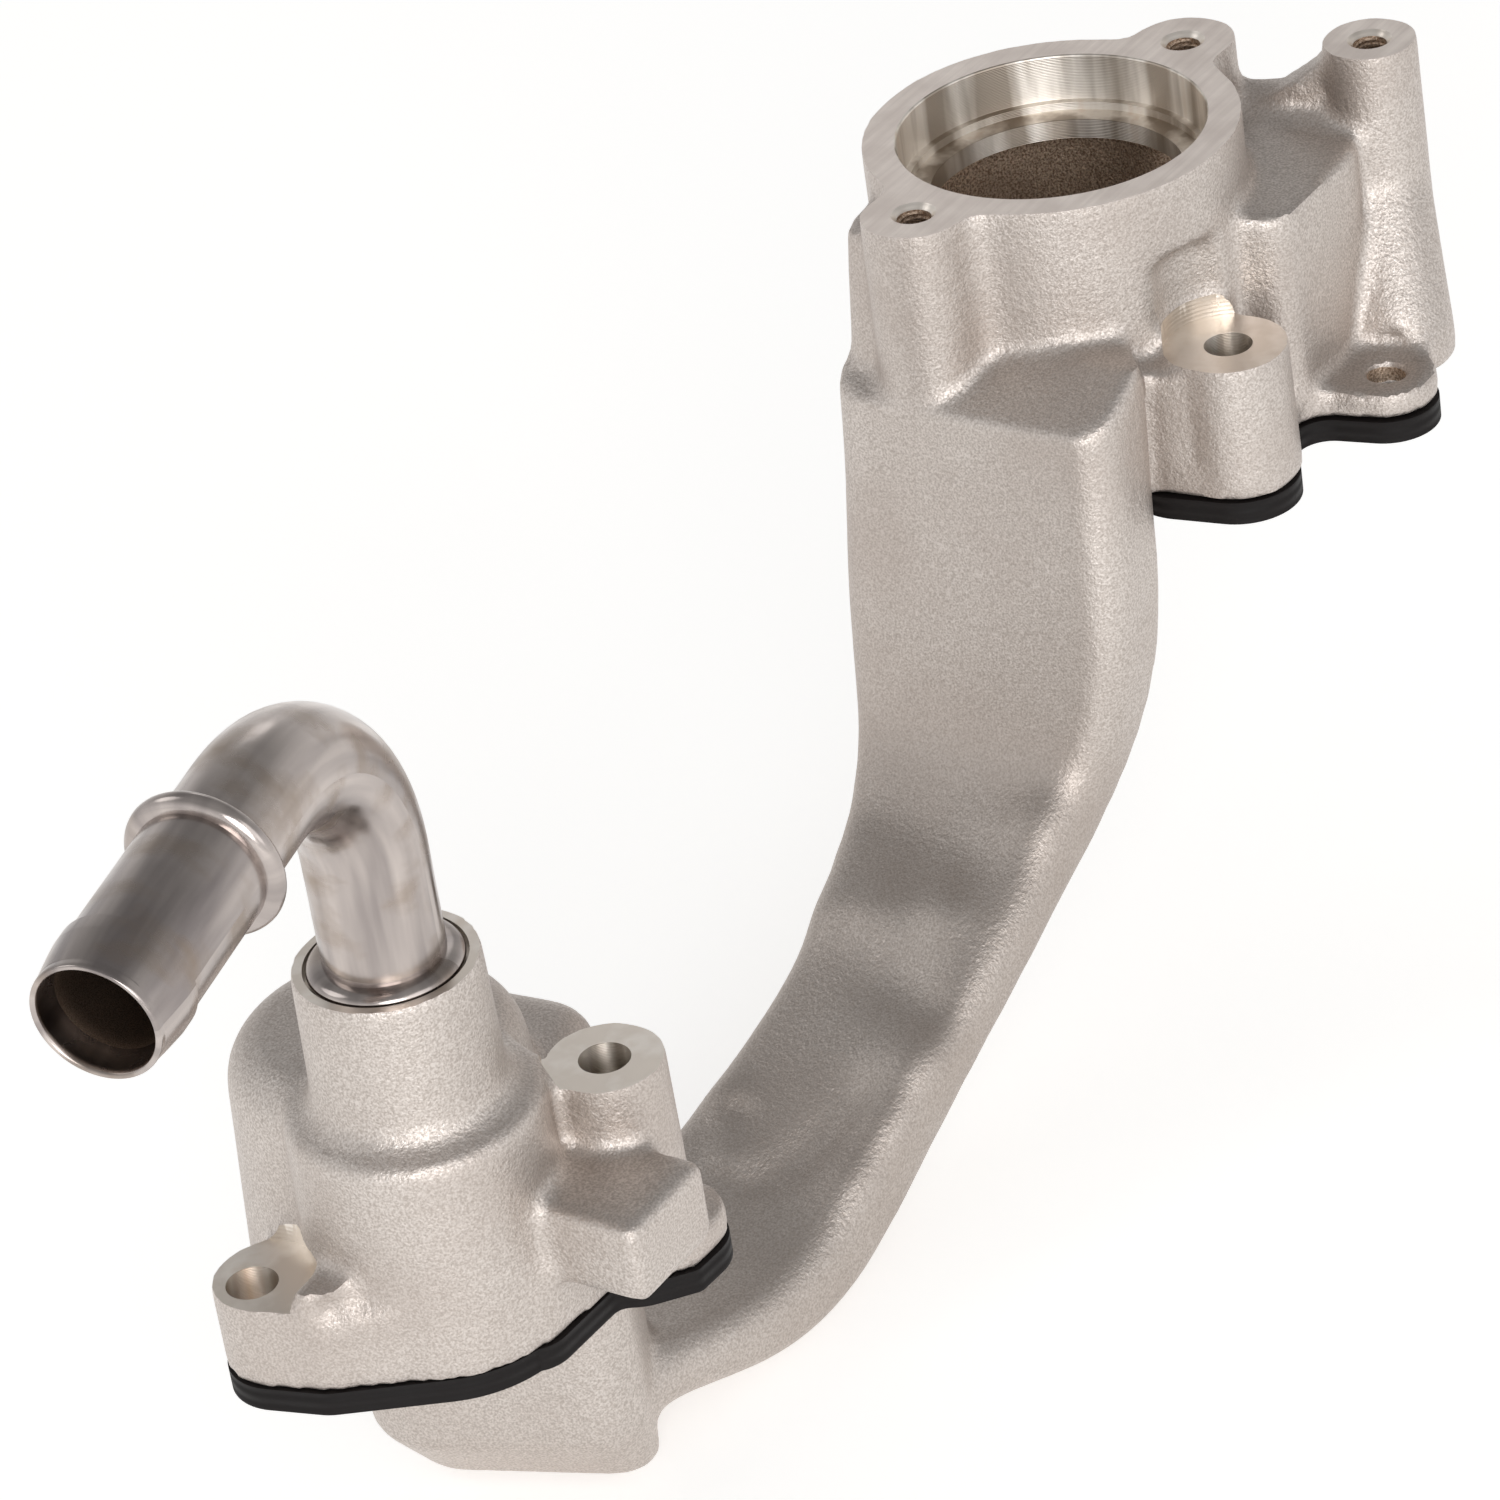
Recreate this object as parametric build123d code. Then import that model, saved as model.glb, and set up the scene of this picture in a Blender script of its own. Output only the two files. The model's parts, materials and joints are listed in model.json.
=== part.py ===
"""Coolant housing of a V6 engine: one aluminium casting that joins the two cylinder heads.

The origin is the centre of the valve bore, on its machined deck. +Z is the bore's axis and
points out of the engine. +X runs across the engine, from the low head to the high one.
Both head faces are square to Z. Sizes are millimetres.
"""
import os
from math import atan2, cos, degrees, radians, sin, tan

from build123d import *

os.makedirs("parts", exist_ok=True)

# Casting in general
WALL = 4.0            # cast wall
DRAFT = 1.0           # degrees of draft on drawn bosses
BLEND = 6.0           # radius where a boss or an ear runs into its neighbour
CAST_R = 3.0          # radius on free cast corners

# Valve bore and the deck round it
BORE_R = 27.0
BORE_DEPTH = 8.6      # to the narrow seat land
SEAT_R = 25.8
SEAT_DEPTH = 10.2     # to the shoulder that the valve rests on
THROAT_R = 22.3
THROAT_DEPTH = 14.0
DECK_R = 33.0
EAR_R = 9.3
EAR_REACH = 36.4      # bore axis to each cover bolt
EAR_ANGLE = -10.0
CHAMBER_R = 27.5      # cast chamber under the throat

# M6 threads: the two ears and the bracket post
THREAD_R = 2.5
THREAD_DEPTH = 20.0
THREAD_SINK_R = 3.95
POST = (46.0, -38.0)
POST_R = 8.3

# High head face
HIGH_Z = -55.5
HIGH_PORT = (16.0, -14.0)
PORT_R = 13.0
PORT_BODY_R = 20.5
PORT_NOSE = ((9.5, -35.5), (31.0, -35.0))  # front corners of the port body
PORT_NOSE_R = 6.0
PORT_ROOF_FRONT_Z = -14.5
PORT_ROOF_REAR_Z = -11.0
HEAD_BOLT_R = 4.2     # close hole for M8
SPOTFACE_R = 11.2
SPOTFACE_WALL = 4.0   # depth of the machined wall round a spotface
NEAR_BOLT = (-12.2, -38.4)
NEAR_BOSS_R = 10.3
NEAR_SEAT_Z = -30.0
NEAR_RECESS_R = 11.8  # cast room for the bolt's head, open through the deck's rim
FAR_BOLT = (2 * HIGH_PORT[0] - NEAR_BOLT[0], 2 * HIGH_PORT[1] - NEAR_BOLT[1])
FAR_BOSS_R = 10.0
FAR_SEAT_Z = -30.0
DOWEL = (19.8, -50.3)
DOWEL_R = 3.4
DOWEL_EAR_R = 9.0
DOWEL_SEAT_Z = -50.2
HIGH_FLANGE_T = 6.0
BRACE = (-13.0, -29.0)  # wall between the near boss and the arm
BRACE_R = 11.0
BRACE_TOP_Z = -31.0
WEB_TOP_Z = -9.0
WEB_T = 8.0
WEB_BEVEL = 5.0
WEB_RISE = 6.0        # the web's top climbs by this much into the post
GUSSET_TOP_Z = -24.0  # foot of the post leans out to the dowel's ear
GUSSET_FOOT = (34.0, -46.0)
GUSSET_FOOT_R = 9.5

# Arm
ARM_FACE_X = -45.8
ARM_TOP_Z = -33.2     # front edge of the sloping ledge on top of the arm
LEDGE_REAR_X = -31.0
LEDGE_REAR_Z = -26.0
SHOULDER = ((-34.0, 17.5), (-18.0, 20.0))  # rounds of the wall behind the -X ear
SHOULDER_R = 6.0
SHOULDER_TOP_Z = -5.0
SHOULDER_DRAFT = 5.0
ARM_W = 54.0
ARM_T = 24.0
ARM_R = 7.0

# Low head face
LOW_Z = -100.0
LOW_PORT = (-216.0, -3.0)
CAP_R = 20.5
CAP_TOP_Z = -60.0
EAR_BOLT = (-240.0, 15.8)
EAR_BOLT_SEAT_Z = -85.0
EAR_ROUNDS = (((-237.4, 14.3), 9.3), ((-236.2, 5.5), 8.2))
BOSS_BOLT = (-192.2, -22.4)
BOSS_BOLT_SEAT_Z = -64.0
BOSS_BOLT_R = 9.6
BOSS_FOOT = ((BOSS_BOLT, 11.2), ((-188.2, -27.8), 8.0), ((-193.4, -33.2), 2.3))
BOSS_FOOT_T = 6.0
LOW_FLANGE_T = 14.0
LUG = ((-216.5, -18.5), (-200.0, -19.2))  # thick lip of the flange under the block
LUG_R = 6.5
LOW_BLEND = 3.0
BLOCK = (-217.0, -196.6, -42.0, -18.0, -89.5, -75.0)

# Riser beside the low head face, and the hump that leads over to its port
HUMP = (-203.0, 14.0)
HUMP_R = 23.5
HUMP_TOP_Z = -58.0
HUMP_DOME_R = 9.0
HUMP_DRAFT = 3.5
RISER_ROUNDS = (
    ((-183.3, -0.8), 8.7),
    ((-189.1, 25.2), 13.5),
    ((-177.0, 29.0), 9.2),
    ((-174.0, 4.5), 8.7),
)
RISER_TOP_Z = -74.0
RISER_BOTTOM_Z = -159.5
RISER_EDGE_R = 8.0
RISER_FOOT_Z = -148.0  # from here down it narrows, mostly on the -X side
RISER_FOOT_ROUNDS = (
    ((-178.6, -0.9), 6.2),
    ((-184.5, 24.5), 9.5),
    ((-177.0, 28.0), 7.5),
    ((-174.0, 4.5), 6.5),
)

# Gaskets
GASKET_T = 4.2
GASKET_PLAY = 0.5     # wider than each bolt hole by this radius
GASKET_PORT_R = PORT_R + 1

# Heater tube
TUBE_R = 9.7
TUBE_WALL = 1.2
TUBE_BOSS_R = 14.8
TUBE_BOSS_Z = -34.8
TUBE_PRESS = 16.0     # length pressed into the boss
BEND_R = 28.0
BEND_CORNER_Z = 14.6
BEND_ANGLE = 94.0
TUBE_HEADING = 190.5  # compass of the free run, seen from above
RUN = 80.5            # corner to open end
STOP_BEAD_FROM_END = 36.5
STOP_BEAD_R = 12.6
SEAT_BEAD_R = 12.4
SEAT_BEAD_SINK = 2.0
BEAD_W = 3.4
HOSE_R = 10.35
BARB_R = 10.9
BARB_FROM_END = 11.0
LIP_R = 9.6

# Arm stations. Each row is X and Z of the top line, its lean from straight down towards -X,
# the centre's Y, the width, the depth, the height of the plain side, and the fall of the top
# towards its -Y edge.
ARM_STATIONS = [
    (ARM_FACE_X, LEDGE_REAR_Z, 0.0, -4.5, ARM_W, ARM_T, 16.0, 0.0),
    (ARM_FACE_X - 0.5, -46.6, 3.0, -4.0, ARM_W + 1.5, ARM_T, 16.0, 0.0),
    (ARM_FACE_X - 2.5, -68.6, 4.0, -3.5, ARM_W + 3.0, ARM_T, 16.0, 0.0),
    (ARM_FACE_X - 4.5, -88.6, 10.0, -2.0, ARM_W + 0.5, ARM_T, 14.0, 0.0),
    (ARM_FACE_X - 10.2, -101.0, 38.0, -1.0, ARM_W - 6.0, ARM_T, 11.0, 0.0),
    (-68.0, -108.8, 60.0, -1.8, 43.5, ARM_T, 9.5, 0.0),
    (-84.0, -118.3, 63.0, -2.0, 40.0, 23.0, 9.5, 0.0),
    (-103.0, -128.4, 64.0, 0.5, 39.5, 22.5, 11.5, 0.0),
    (-124.0, -137.3, 74.0, 3.8, 42.0, 22.0, 15.0, 2.5),
    (-150.0, -141.0, 88.0, 9.9, 46.0, 18.4, 14.8, 4.5),
    (-182.0, -141.3, 90.0, 13.7, 44.0, 17.3, 13.3, 4.0),
]


def ear_place(side):
    """Centre of a cover-bolt ear, on the -X or the +X side of the bore."""
    turn = radians(EAR_ANGLE)
    return (side * EAR_REACH * cos(turn), side * EAR_REACH * sin(turn))


def post(place, top_r, top_z, bottom_z, draft=DRAFT):
    """Round boss with draft: it grows wider as it goes down."""
    height = top_z - bottom_z
    bottom_r = top_r + height * tan(radians(draft))
    stem = Cone(bottom_r, top_r, height, align=(Align.CENTER, Align.CENTER, Align.MIN))
    return Pos(place[0], place[1], bottom_z) * stem


def bore(place, r, top_z, bottom_z):
    """Straight round cutter."""
    height = top_z - bottom_z
    tool = Cylinder(r, height, align=(Align.CENTER, Align.CENTER, Align.MIN))
    return Pos(place[0], place[1], bottom_z) * tool


def turned(place, along, *profile):
    """Solid of revolution about a line, from (radius, distance along the line) points."""
    ring = Polygon((0, profile[0][1]), *profile, (0, profile[-1][1]), align=None)
    across = Vector(0, 1, 0).cross(along) if abs(along.Y) < 0.9 else Vector(1, 0, 0)
    section = Plane(origin=place, x_dir=across, z_dir=across.cross(along))
    return revolve(section * ring, Axis(place, along))


def hull_of(*rounds):
    """Outline that wraps circles given as (place, radius)."""
    edges = []
    for place, r in rounds:
        edges += (Pos(*place) * Circle(r)).edges()
    return make_hull(edges)


def slab(outline, top_z, bottom_z):
    """Outline drawn between two heights."""
    return Pos(0, 0, bottom_z) * extrude(outline, top_z - bottom_z)


# Outlines seen along Z

def deck_outline():
    outline = Circle(DECK_R)
    for side in (-1, 1):
        outline += Pos(*ear_place(side)) * Circle(EAR_R)
    return fillet(outline.vertices(), BLEND)


def high_face_outline():
    outline = Pos(*HIGH_PORT) * Circle(PORT_BODY_R)
    outline += hull_of((NEAR_BOLT, NEAR_BOSS_R), (BRACE, BRACE_R), (HIGH_PORT, PORT_BODY_R - 8))
    outline += hull_of((FAR_BOLT, FAR_BOSS_R), (HIGH_PORT, PORT_BODY_R - 4))
    outline += hull_of((DOWEL, DOWEL_EAR_R), (HIGH_PORT, PORT_BODY_R - 8))
    return fillet(outline.vertices(), BLEND)


def low_face_outline():
    outline = low_flange_outline() + hull_of(*BOSS_FOOT)
    # The creases beside the boss lie between its toe and the port, behind the lug.
    toe_y = BOSS_FOOT[1][0][1]
    creases = outline.vertices().filter_by_position(Axis.Y, toe_y + 1, LOW_PORT[1] - 1)
    return fillet(creases.filter_by(lambda v: v.X > LUG[1][0] - LUG_R), LOW_BLEND)


def low_flange_outline():
    """Cap, ear and lug."""
    outline = hull_of(*EAR_ROUNDS, (LOW_PORT, CAP_R))
    outline += hull_of(*[(place, LUG_R) for place in LUG])
    crease = outline.vertices().filter_by(lambda v: v.X < LUG[0][0]).sort_by(Axis.Y)[0]
    return fillet(crease, LOW_BLEND)


# Outer forms of the casting

def high_body():
    """Deck, chamber, port body, bolt bosses and bracket post over the high head face."""
    body = slab(deck_outline(), 0, HIGH_Z)
    body += port_body()
    body += slab(high_face_outline(), HIGH_Z + HIGH_FLANGE_T, HIGH_Z)
    body += post(NEAR_BOLT, NEAR_BOSS_R, NEAR_SEAT_Z + SPOTFACE_WALL, HIGH_Z)
    body += post(FAR_BOLT, FAR_BOSS_R, FAR_SEAT_Z, HIGH_Z)
    body += post(POST, POST_R, 0, HIGH_Z)
    body += slab(hull_of((NEAR_BOLT, NEAR_BOSS_R - 1), (BRACE, BRACE_R)), BRACE_TOP_Z, HIGH_Z)
    body += shoulder()
    body += gusset()
    body += web()
    return body - bore(NEAR_BOLT, NEAR_RECESS_R, 1, NEAR_SEAT_Z + SPOTFACE_WALL)


def shoulder():
    """Drafted wall that carries the -X ear's side of the deck down to the arm."""
    shrink = (SHOULDER_TOP_Z - ARM_TOP_Z) * tan(radians(SHOULDER_DRAFT))
    foot = hull_of(*[(place, SHOULDER_R) for place in SHOULDER])
    head = hull_of(*[(place, SHOULDER_R - shrink) for place in SHOULDER])
    return loft([Pos(0, 0, ARM_TOP_Z) * foot, Pos(0, 0, SHOULDER_TOP_Z) * head])


def gusset():
    """Foot of the bracket post, which leans out towards the dowel's ear."""
    upper = Pos(POST[0], POST[1], GUSSET_TOP_Z) * Circle(POST_R)
    lower = Pos(GUSSET_FOOT[0], GUSSET_FOOT[1], DOWEL_SEAT_Z) * Circle(GUSSET_FOOT_R)
    return loft([upper, lower]) + bore(GUSSET_FOOT, GUSSET_FOOT_R, DOWEL_SEAT_Z, HIGH_Z)


def port_body():
    """Body over the port: round behind, two corners in front, its roof sloping down to them."""
    noses = [(place, PORT_NOSE_R) for place in PORT_NOSE]
    outline = hull_of((HIGH_PORT, PORT_BODY_R), *noses)
    body = slab(outline, PORT_ROOF_REAR_Z, HIGH_Z)
    front = PORT_NOSE[0][1] - PORT_NOSE_R - 1
    rear = HIGH_PORT[1] + PORT_BODY_R
    over_roof = Polygon(
        (front, PORT_ROOF_FRONT_Z), (front, 0), (rear, 0), (rear, PORT_ROOF_REAR_Z), align=None
    )
    return body - Pos(HIGH_PORT[0], 0, 0) * extrude(Plane.YZ * over_roof, 40, both=True)


def web():
    """Upright web from the +X ear to the bracket post: bevelled in front, rising to the post."""
    start = Vector(*ear_place(1), 0)
    run = Vector(*POST, 0) - start
    half = WEB_T / 2
    bevel_z = WEB_TOP_Z - WEB_BEVEL
    section = Polygon(
        (half, HIGH_Z), (half, WEB_TOP_Z), (WEB_BEVEL - half, WEB_TOP_Z),
        (-half - WEB_BEVEL, bevel_z), (-half - WEB_BEVEL, bevel_z - WEB_BEVEL),
        (-half, bevel_z - 2 * WEB_BEVEL), (-half, HIGH_Z),
        align=None,
    )
    along = Plane(origin=start, x_dir=Vector(0, 0, 1).cross(run), z_dir=run)
    wall = extrude(along * section, run.length)
    climb = Polygon(
        (run.length * 0.45, WEB_TOP_Z - 1), (run.length * 0.75, WEB_TOP_Z + WEB_RISE),
        (run.length, WEB_TOP_Z + WEB_RISE), (run.length, WEB_TOP_Z - 1),
        align=None,
    )
    side = Plane(origin=start, x_dir=run, z_dir=run.cross(Vector(0, 0, 1)))
    return wall + extrude(side * climb, half, both=True)


def arm_section(station, inset):
    """One closed section of the arm: flat top, plain sides, belly bevelled at 45 degrees."""
    x, z, lean, y, width, depth, side, fall = station
    half = width / 2 - inset
    low = depth - inset
    knee = side - inset * tan(radians(22.5))
    foot = half - (low - knee)
    outline = Polygon(
        (-half, fall + inset), (half, inset), (half, knee), (foot, low), (-foot, low),
        (-half, knee),
        align=None,
    )
    corners = outline.vertices().filter_by(lambda v: v.Y < fall + inset + 0.1)
    outline = fillet(corners, min(ARM_R, 0.7 * (side - fall)) - inset)
    corners = outline.vertices().filter_by(lambda v: v.Y > knee - 0.1)
    outline = fillet(corners, CAST_R - 0.4 * inset)
    down = Vector(-sin(radians(lean)), 0, -cos(radians(lean)))
    return Plane(origin=(x, y, z), x_dir=(0, 1, 0), z_dir=down) * outline


def ledge_cutter(inset):
    """All that lies over the arm's sloping ledge."""
    rise = (LEDGE_REAR_Z - ARM_TOP_Z) / (LEDGE_REAR_X - ARM_FACE_X)
    reach = 20.0
    profile = Polygon(
        (ARM_FACE_X - reach, ARM_TOP_Z - rise * reach - inset),
        (LEDGE_REAR_X, LEDGE_REAR_Z - inset),
        (0, LEDGE_REAR_Z - inset),
        (0, 10),
        (ARM_FACE_X - reach, 10),
        align=None,
    )
    return extrude(Plane.XZ * profile, ARM_W, both=True)


def arm(inset=0.0):
    """Arm as a loft through its stations. With an inset it is the passage inside."""
    duct = loft([arm_section(station, inset) for station in ARM_STATIONS])
    return duct - ledge_cutter(inset)


def riser(inset=0.0):
    """Upright duct that lifts the arm's flow beside the low head face."""
    outline = hull_of(*[(place, r - inset) for place, r in RISER_ROUNDS])
    bottom = hull_of(*[(place, r - inset) for place, r in RISER_FOOT_ROUNDS])
    duct = slab(outline, RISER_TOP_Z - inset, RISER_FOOT_Z)
    duct = fillet(duct.faces().sort_by(Axis.Z)[-1].edges(), RISER_EDGE_R - inset)
    return duct + loft([
        Pos(0, 0, RISER_BOTTOM_Z + inset) * bottom,
        Pos(0, 0, RISER_FOOT_Z) * outline,
    ])


def hump(inset=0.0):
    """Domed drum that carries the flow from the riser over to the low port."""
    drum = post(HUMP, HUMP_R - inset, HUMP_TOP_Z - inset, LOW_Z + inset, HUMP_DRAFT)
    return fillet(drum.faces().sort_by(Axis.Z)[-1].edges(), HUMP_DOME_R - inset)


def tube_boss():
    """Drafted boss for the heater tube, flared where it meets the cap's roof."""
    foot_r = TUBE_BOSS_R + (TUBE_BOSS_Z - CAP_TOP_Z) * tan(radians(DRAFT * 1.5))
    flare = 5.0
    profile = Polygon(
        (0, CAP_TOP_Z - WALL), (foot_r + flare, CAP_TOP_Z - WALL), (foot_r + flare, CAP_TOP_Z),
        (foot_r, CAP_TOP_Z), (TUBE_BOSS_R, TUBE_BOSS_Z), (0, TUBE_BOSS_Z),
        align=None,
    )
    inner = profile.vertices().sort_by_distance(Vector(foot_r, CAP_TOP_Z, 0))[0]
    profile = fillet(inner, flare - 0.5)
    return Pos(*LOW_PORT) * revolve(Plane.XZ * profile, Axis.Z)


def low_body():
    """Cap over the low head face, with its boss, ear, lug and bracket block."""
    body = post(LOW_PORT, CAP_R, CAP_TOP_Z, LOW_Z)
    body += tube_boss()
    body += hump()
    body += slab(low_face_outline(), LOW_Z + BOSS_FOOT_T, LOW_Z)
    body += slab(low_flange_outline(), LOW_Z + LOW_FLANGE_T, LOW_Z + BOSS_FOOT_T)
    ear_top = EAR_BOLT_SEAT_Z + SPOTFACE_WALL
    body += slab(hull_of(*EAR_ROUNDS), ear_top, LOW_Z + LOW_FLANGE_T)
    body += post(BOSS_BOLT, BOSS_BOLT_R, BOSS_BOLT_SEAT_Z, LOW_Z)
    x0, x1, y0, y1, z0, z1 = BLOCK
    block = Box(x1 - x0, y1 - y0, z1 - z0, align=Align.MIN)
    body += Pos(x0, y0, z0) * fillet(block.edges(), 1.5)
    return body


# Hollows and machined features

def high_hollow():
    hollow = bore((0, 0), CHAMBER_R, -THROAT_DEPTH, HIGH_Z + WALL)
    hollow += bore(HIGH_PORT, PORT_BODY_R - WALL, PORT_ROOF_FRONT_Z - WALL, HIGH_Z + WALL)
    hollow -= bore(NEAR_BOLT, NEAR_RECESS_R + 3, 1, HIGH_Z - 1)
    hollow += bore((0, 0), THROAT_R, 0, -THROAT_DEPTH)
    hollow += bore((0, 0), SEAT_R, 0, -SEAT_DEPTH)
    hollow += bore((0, 0), BORE_R, 1, -BORE_DEPTH)
    hollow += bore(HIGH_PORT, PORT_R, HIGH_Z + WALL + 1, HIGH_Z - 1)
    return hollow


def low_hollow():
    hollow = bore(LOW_PORT, CAP_R - WALL, CAP_TOP_Z - WALL, LOW_Z + WALL)
    hollow += bore(LOW_PORT, PORT_R, CAP_TOP_Z - WALL, LOW_Z - 1)
    hollow += bore(LOW_PORT, TUBE_R - TUBE_WALL, TUBE_BOSS_Z, CAP_TOP_Z - WALL - 1)
    hollow += bore(LOW_PORT, TUBE_R, TUBE_BOSS_Z, TUBE_BOSS_Z - TUBE_PRESS)
    hollow += bore(LOW_PORT, SEAT_BEAD_R + 0.5, TUBE_BOSS_Z + 1, TUBE_BOSS_Z - SEAT_BEAD_SINK)
    hollow += hump(WALL)
    return hollow


def tapped_hole(place):
    """Countersunk hole at thread size, open at the deck's height."""
    sink = THREAD_SINK_R - THREAD_R
    return turned(
        Vector(*place, 0), Vector(0, 0, 1), (THREAD_SINK_R, 1), (THREAD_SINK_R, 0),
        (THREAD_R, -sink), (THREAD_R, -THREAD_DEPTH),
    )


def bolt_hole(place, r, seat_z, face_z):
    """Through hole with its spotface."""
    hole = bore(place, r, seat_z + 1, face_z - 1)
    return hole + bore(place, SPOTFACE_R, seat_z + SPOTFACE_WALL, seat_z)


def machining():
    """Threads, bolt holes and spotfaces cut into the casting."""
    cuts = bore(POST, THREAD_R, 1, -THREAD_DEPTH)
    for side in (-1, 1):
        cuts += tapped_hole(ear_place(side))
    cuts += bolt_hole(NEAR_BOLT, HEAD_BOLT_R, NEAR_SEAT_Z, HIGH_Z)
    cuts += bolt_hole(FAR_BOLT, HEAD_BOLT_R, FAR_SEAT_Z, HIGH_Z)
    cuts += bolt_hole(EAR_BOLT, HEAD_BOLT_R, EAR_BOLT_SEAT_Z, LOW_Z)
    cuts += bore(BOSS_BOLT, HEAD_BOLT_R, BOSS_BOLT_SEAT_Z + 1, LOW_Z - 1)
    cuts += bore(DOWEL, DOWEL_R, DOWEL_SEAT_Z + 1, HIGH_Z - 1)
    cuts += bore(DOWEL, DOWEL_EAR_R - 0.3, DOWEL_SEAT_Z + SPOTFACE_WALL, DOWEL_SEAT_Z)
    return cuts


def housing():
    outside = high_body() + arm() + riser() + low_body()
    inside = high_hollow() + arm(WALL) + riser(WALL) + low_hollow()
    return outside - inside - machining()


def gasket(outline, top_z, openings):
    ring = slab(outline, top_z, top_z - GASKET_T)
    for place, r in openings:
        ring -= bore(place, r, top_z, top_z - GASKET_T)
    return ring


def bead(place, along, r, at):
    """Rolled bead round the tube, its crest at a distance along the line."""
    half = BEAD_W / 2
    flank = half * 0.45
    return turned(
        place, along, (TUBE_R - 0.2, at - half), (r - 0.5, at - half), (r, at - flank),
        (r, at + flank), (r - 0.5, at + half), (TUBE_R - 0.2, at + half),
    )


def heater_tube():
    head = radians(TUBE_HEADING)
    bend = radians(BEND_ANGLE)
    corner = Vector(LOW_PORT[0], LOW_PORT[1], BEND_CORNER_Z)
    out = Vector(sin(bend) * cos(head), sin(bend) * sin(head), cos(bend))
    up = Vector(0, 0, 1)
    foot = Vector(LOW_PORT[0], LOW_PORT[1], TUBE_BOSS_Z - TUBE_PRESS)
    line = FilletPolyline(foot, corner, corner + out * RUN, radius=BEND_R)
    tube = sweep(Plane(origin=foot, z_dir=up) * Circle(TUBE_R), path=line)
    stop = RUN - STOP_BEAD_FROM_END
    tube += turned(
        corner, out, (TUBE_R, stop - 1), (HOSE_R, stop), (HOSE_R, RUN - BARB_FROM_END),
        (BARB_R, RUN - BARB_FROM_END + 0.8), (BARB_R, RUN - BARB_FROM_END + 2.5), (LIP_R, RUN),
    )
    tube += bead(corner, out, STOP_BEAD_R, stop)
    tube += bead(foot, up, SEAT_BEAD_R, TUBE_PRESS - SEAT_BEAD_SINK + BEAD_W / 2)
    return tube - sweep(Plane(origin=foot, z_dir=up) * Circle(TUBE_R - TUBE_WALL), path=line)


if __name__ == "__main__":
    parts = {
        "housing": housing(),
        "upper_gasket": gasket(high_face_outline(), HIGH_Z, [
            (HIGH_PORT, GASKET_PORT_R), (NEAR_BOLT, HEAD_BOLT_R + GASKET_PLAY),
            (FAR_BOLT, HEAD_BOLT_R + GASKET_PLAY), (DOWEL, DOWEL_R + GASKET_PLAY)]),
        "lower_gasket": gasket(low_face_outline(), LOW_Z, [
            (LOW_PORT, GASKET_PORT_R), (EAR_BOLT, HEAD_BOLT_R + GASKET_PLAY),
            (BOSS_BOLT, HEAD_BOLT_R + GASKET_PLAY)]),
        "heater_tube": heater_tube(),
    }
    for name, shape in parts.items():
        export_step(shape, f"parts/{name}.step")
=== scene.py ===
# %% [markdown]
# The object is a coolant housing: one rough sand casting with a few faces cut on a machine, two
# black port gaskets and a bent drawn tube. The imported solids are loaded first. They hold the
# sizes, so every later piece is placed by them, in metres, with the bore's mouth at the origin.

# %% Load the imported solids
import json
from math import cos, pi, radians, sin, tan

import bmesh
import bpy
import numpy as np
from mathutils import Matrix, Vector


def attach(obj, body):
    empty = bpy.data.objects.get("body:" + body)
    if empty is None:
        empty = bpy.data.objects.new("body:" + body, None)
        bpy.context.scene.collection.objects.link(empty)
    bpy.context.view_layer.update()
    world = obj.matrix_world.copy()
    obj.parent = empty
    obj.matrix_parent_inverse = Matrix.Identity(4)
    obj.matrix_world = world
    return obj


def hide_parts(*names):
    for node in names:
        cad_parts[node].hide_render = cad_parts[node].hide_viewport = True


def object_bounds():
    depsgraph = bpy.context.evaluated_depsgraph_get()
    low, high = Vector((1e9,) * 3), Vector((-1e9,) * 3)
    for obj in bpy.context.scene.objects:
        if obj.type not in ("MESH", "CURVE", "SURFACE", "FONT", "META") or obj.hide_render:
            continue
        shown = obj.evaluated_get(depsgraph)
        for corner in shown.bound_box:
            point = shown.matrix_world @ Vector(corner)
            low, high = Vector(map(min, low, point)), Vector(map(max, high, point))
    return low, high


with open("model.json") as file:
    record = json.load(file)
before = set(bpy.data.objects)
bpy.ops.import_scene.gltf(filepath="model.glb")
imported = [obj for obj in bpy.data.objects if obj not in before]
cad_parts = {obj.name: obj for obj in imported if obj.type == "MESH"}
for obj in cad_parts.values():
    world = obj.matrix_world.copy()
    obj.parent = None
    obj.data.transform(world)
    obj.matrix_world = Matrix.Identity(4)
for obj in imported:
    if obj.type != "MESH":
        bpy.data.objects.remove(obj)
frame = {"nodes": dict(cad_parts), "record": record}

MM = 0.001
UP = (0, 0, 1)
solid_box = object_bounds()
nodes = frame["nodes"]
mounts = {m["name"]: m for m in frame["record"]["mounts"]}
print("solids:", {name: len(o.data.polygons) for name, o in nodes.items()})

# %% [markdown]
# Materials are node trees. One helper adds a node with its settings and links, and one turns a
# colour written as a hex value into the linear numbers that Blender renders with. The short ones
# after them add the few kinds of node that every material here is made of. A wave texture repeats
# every 2 pi / 20 units, so a line spacing in millimetres can be turned into its scale.

# %% Colour and node helpers
def linear(code):
    channels = [int(code[i:i + 2], 16) / 255 for i in (1, 3, 5)]
    return tuple(c / 12.92 if c <= 0.04045 else ((c + 0.055) / 1.055) ** 2.4 for c in channels) + (1.0,)


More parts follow.
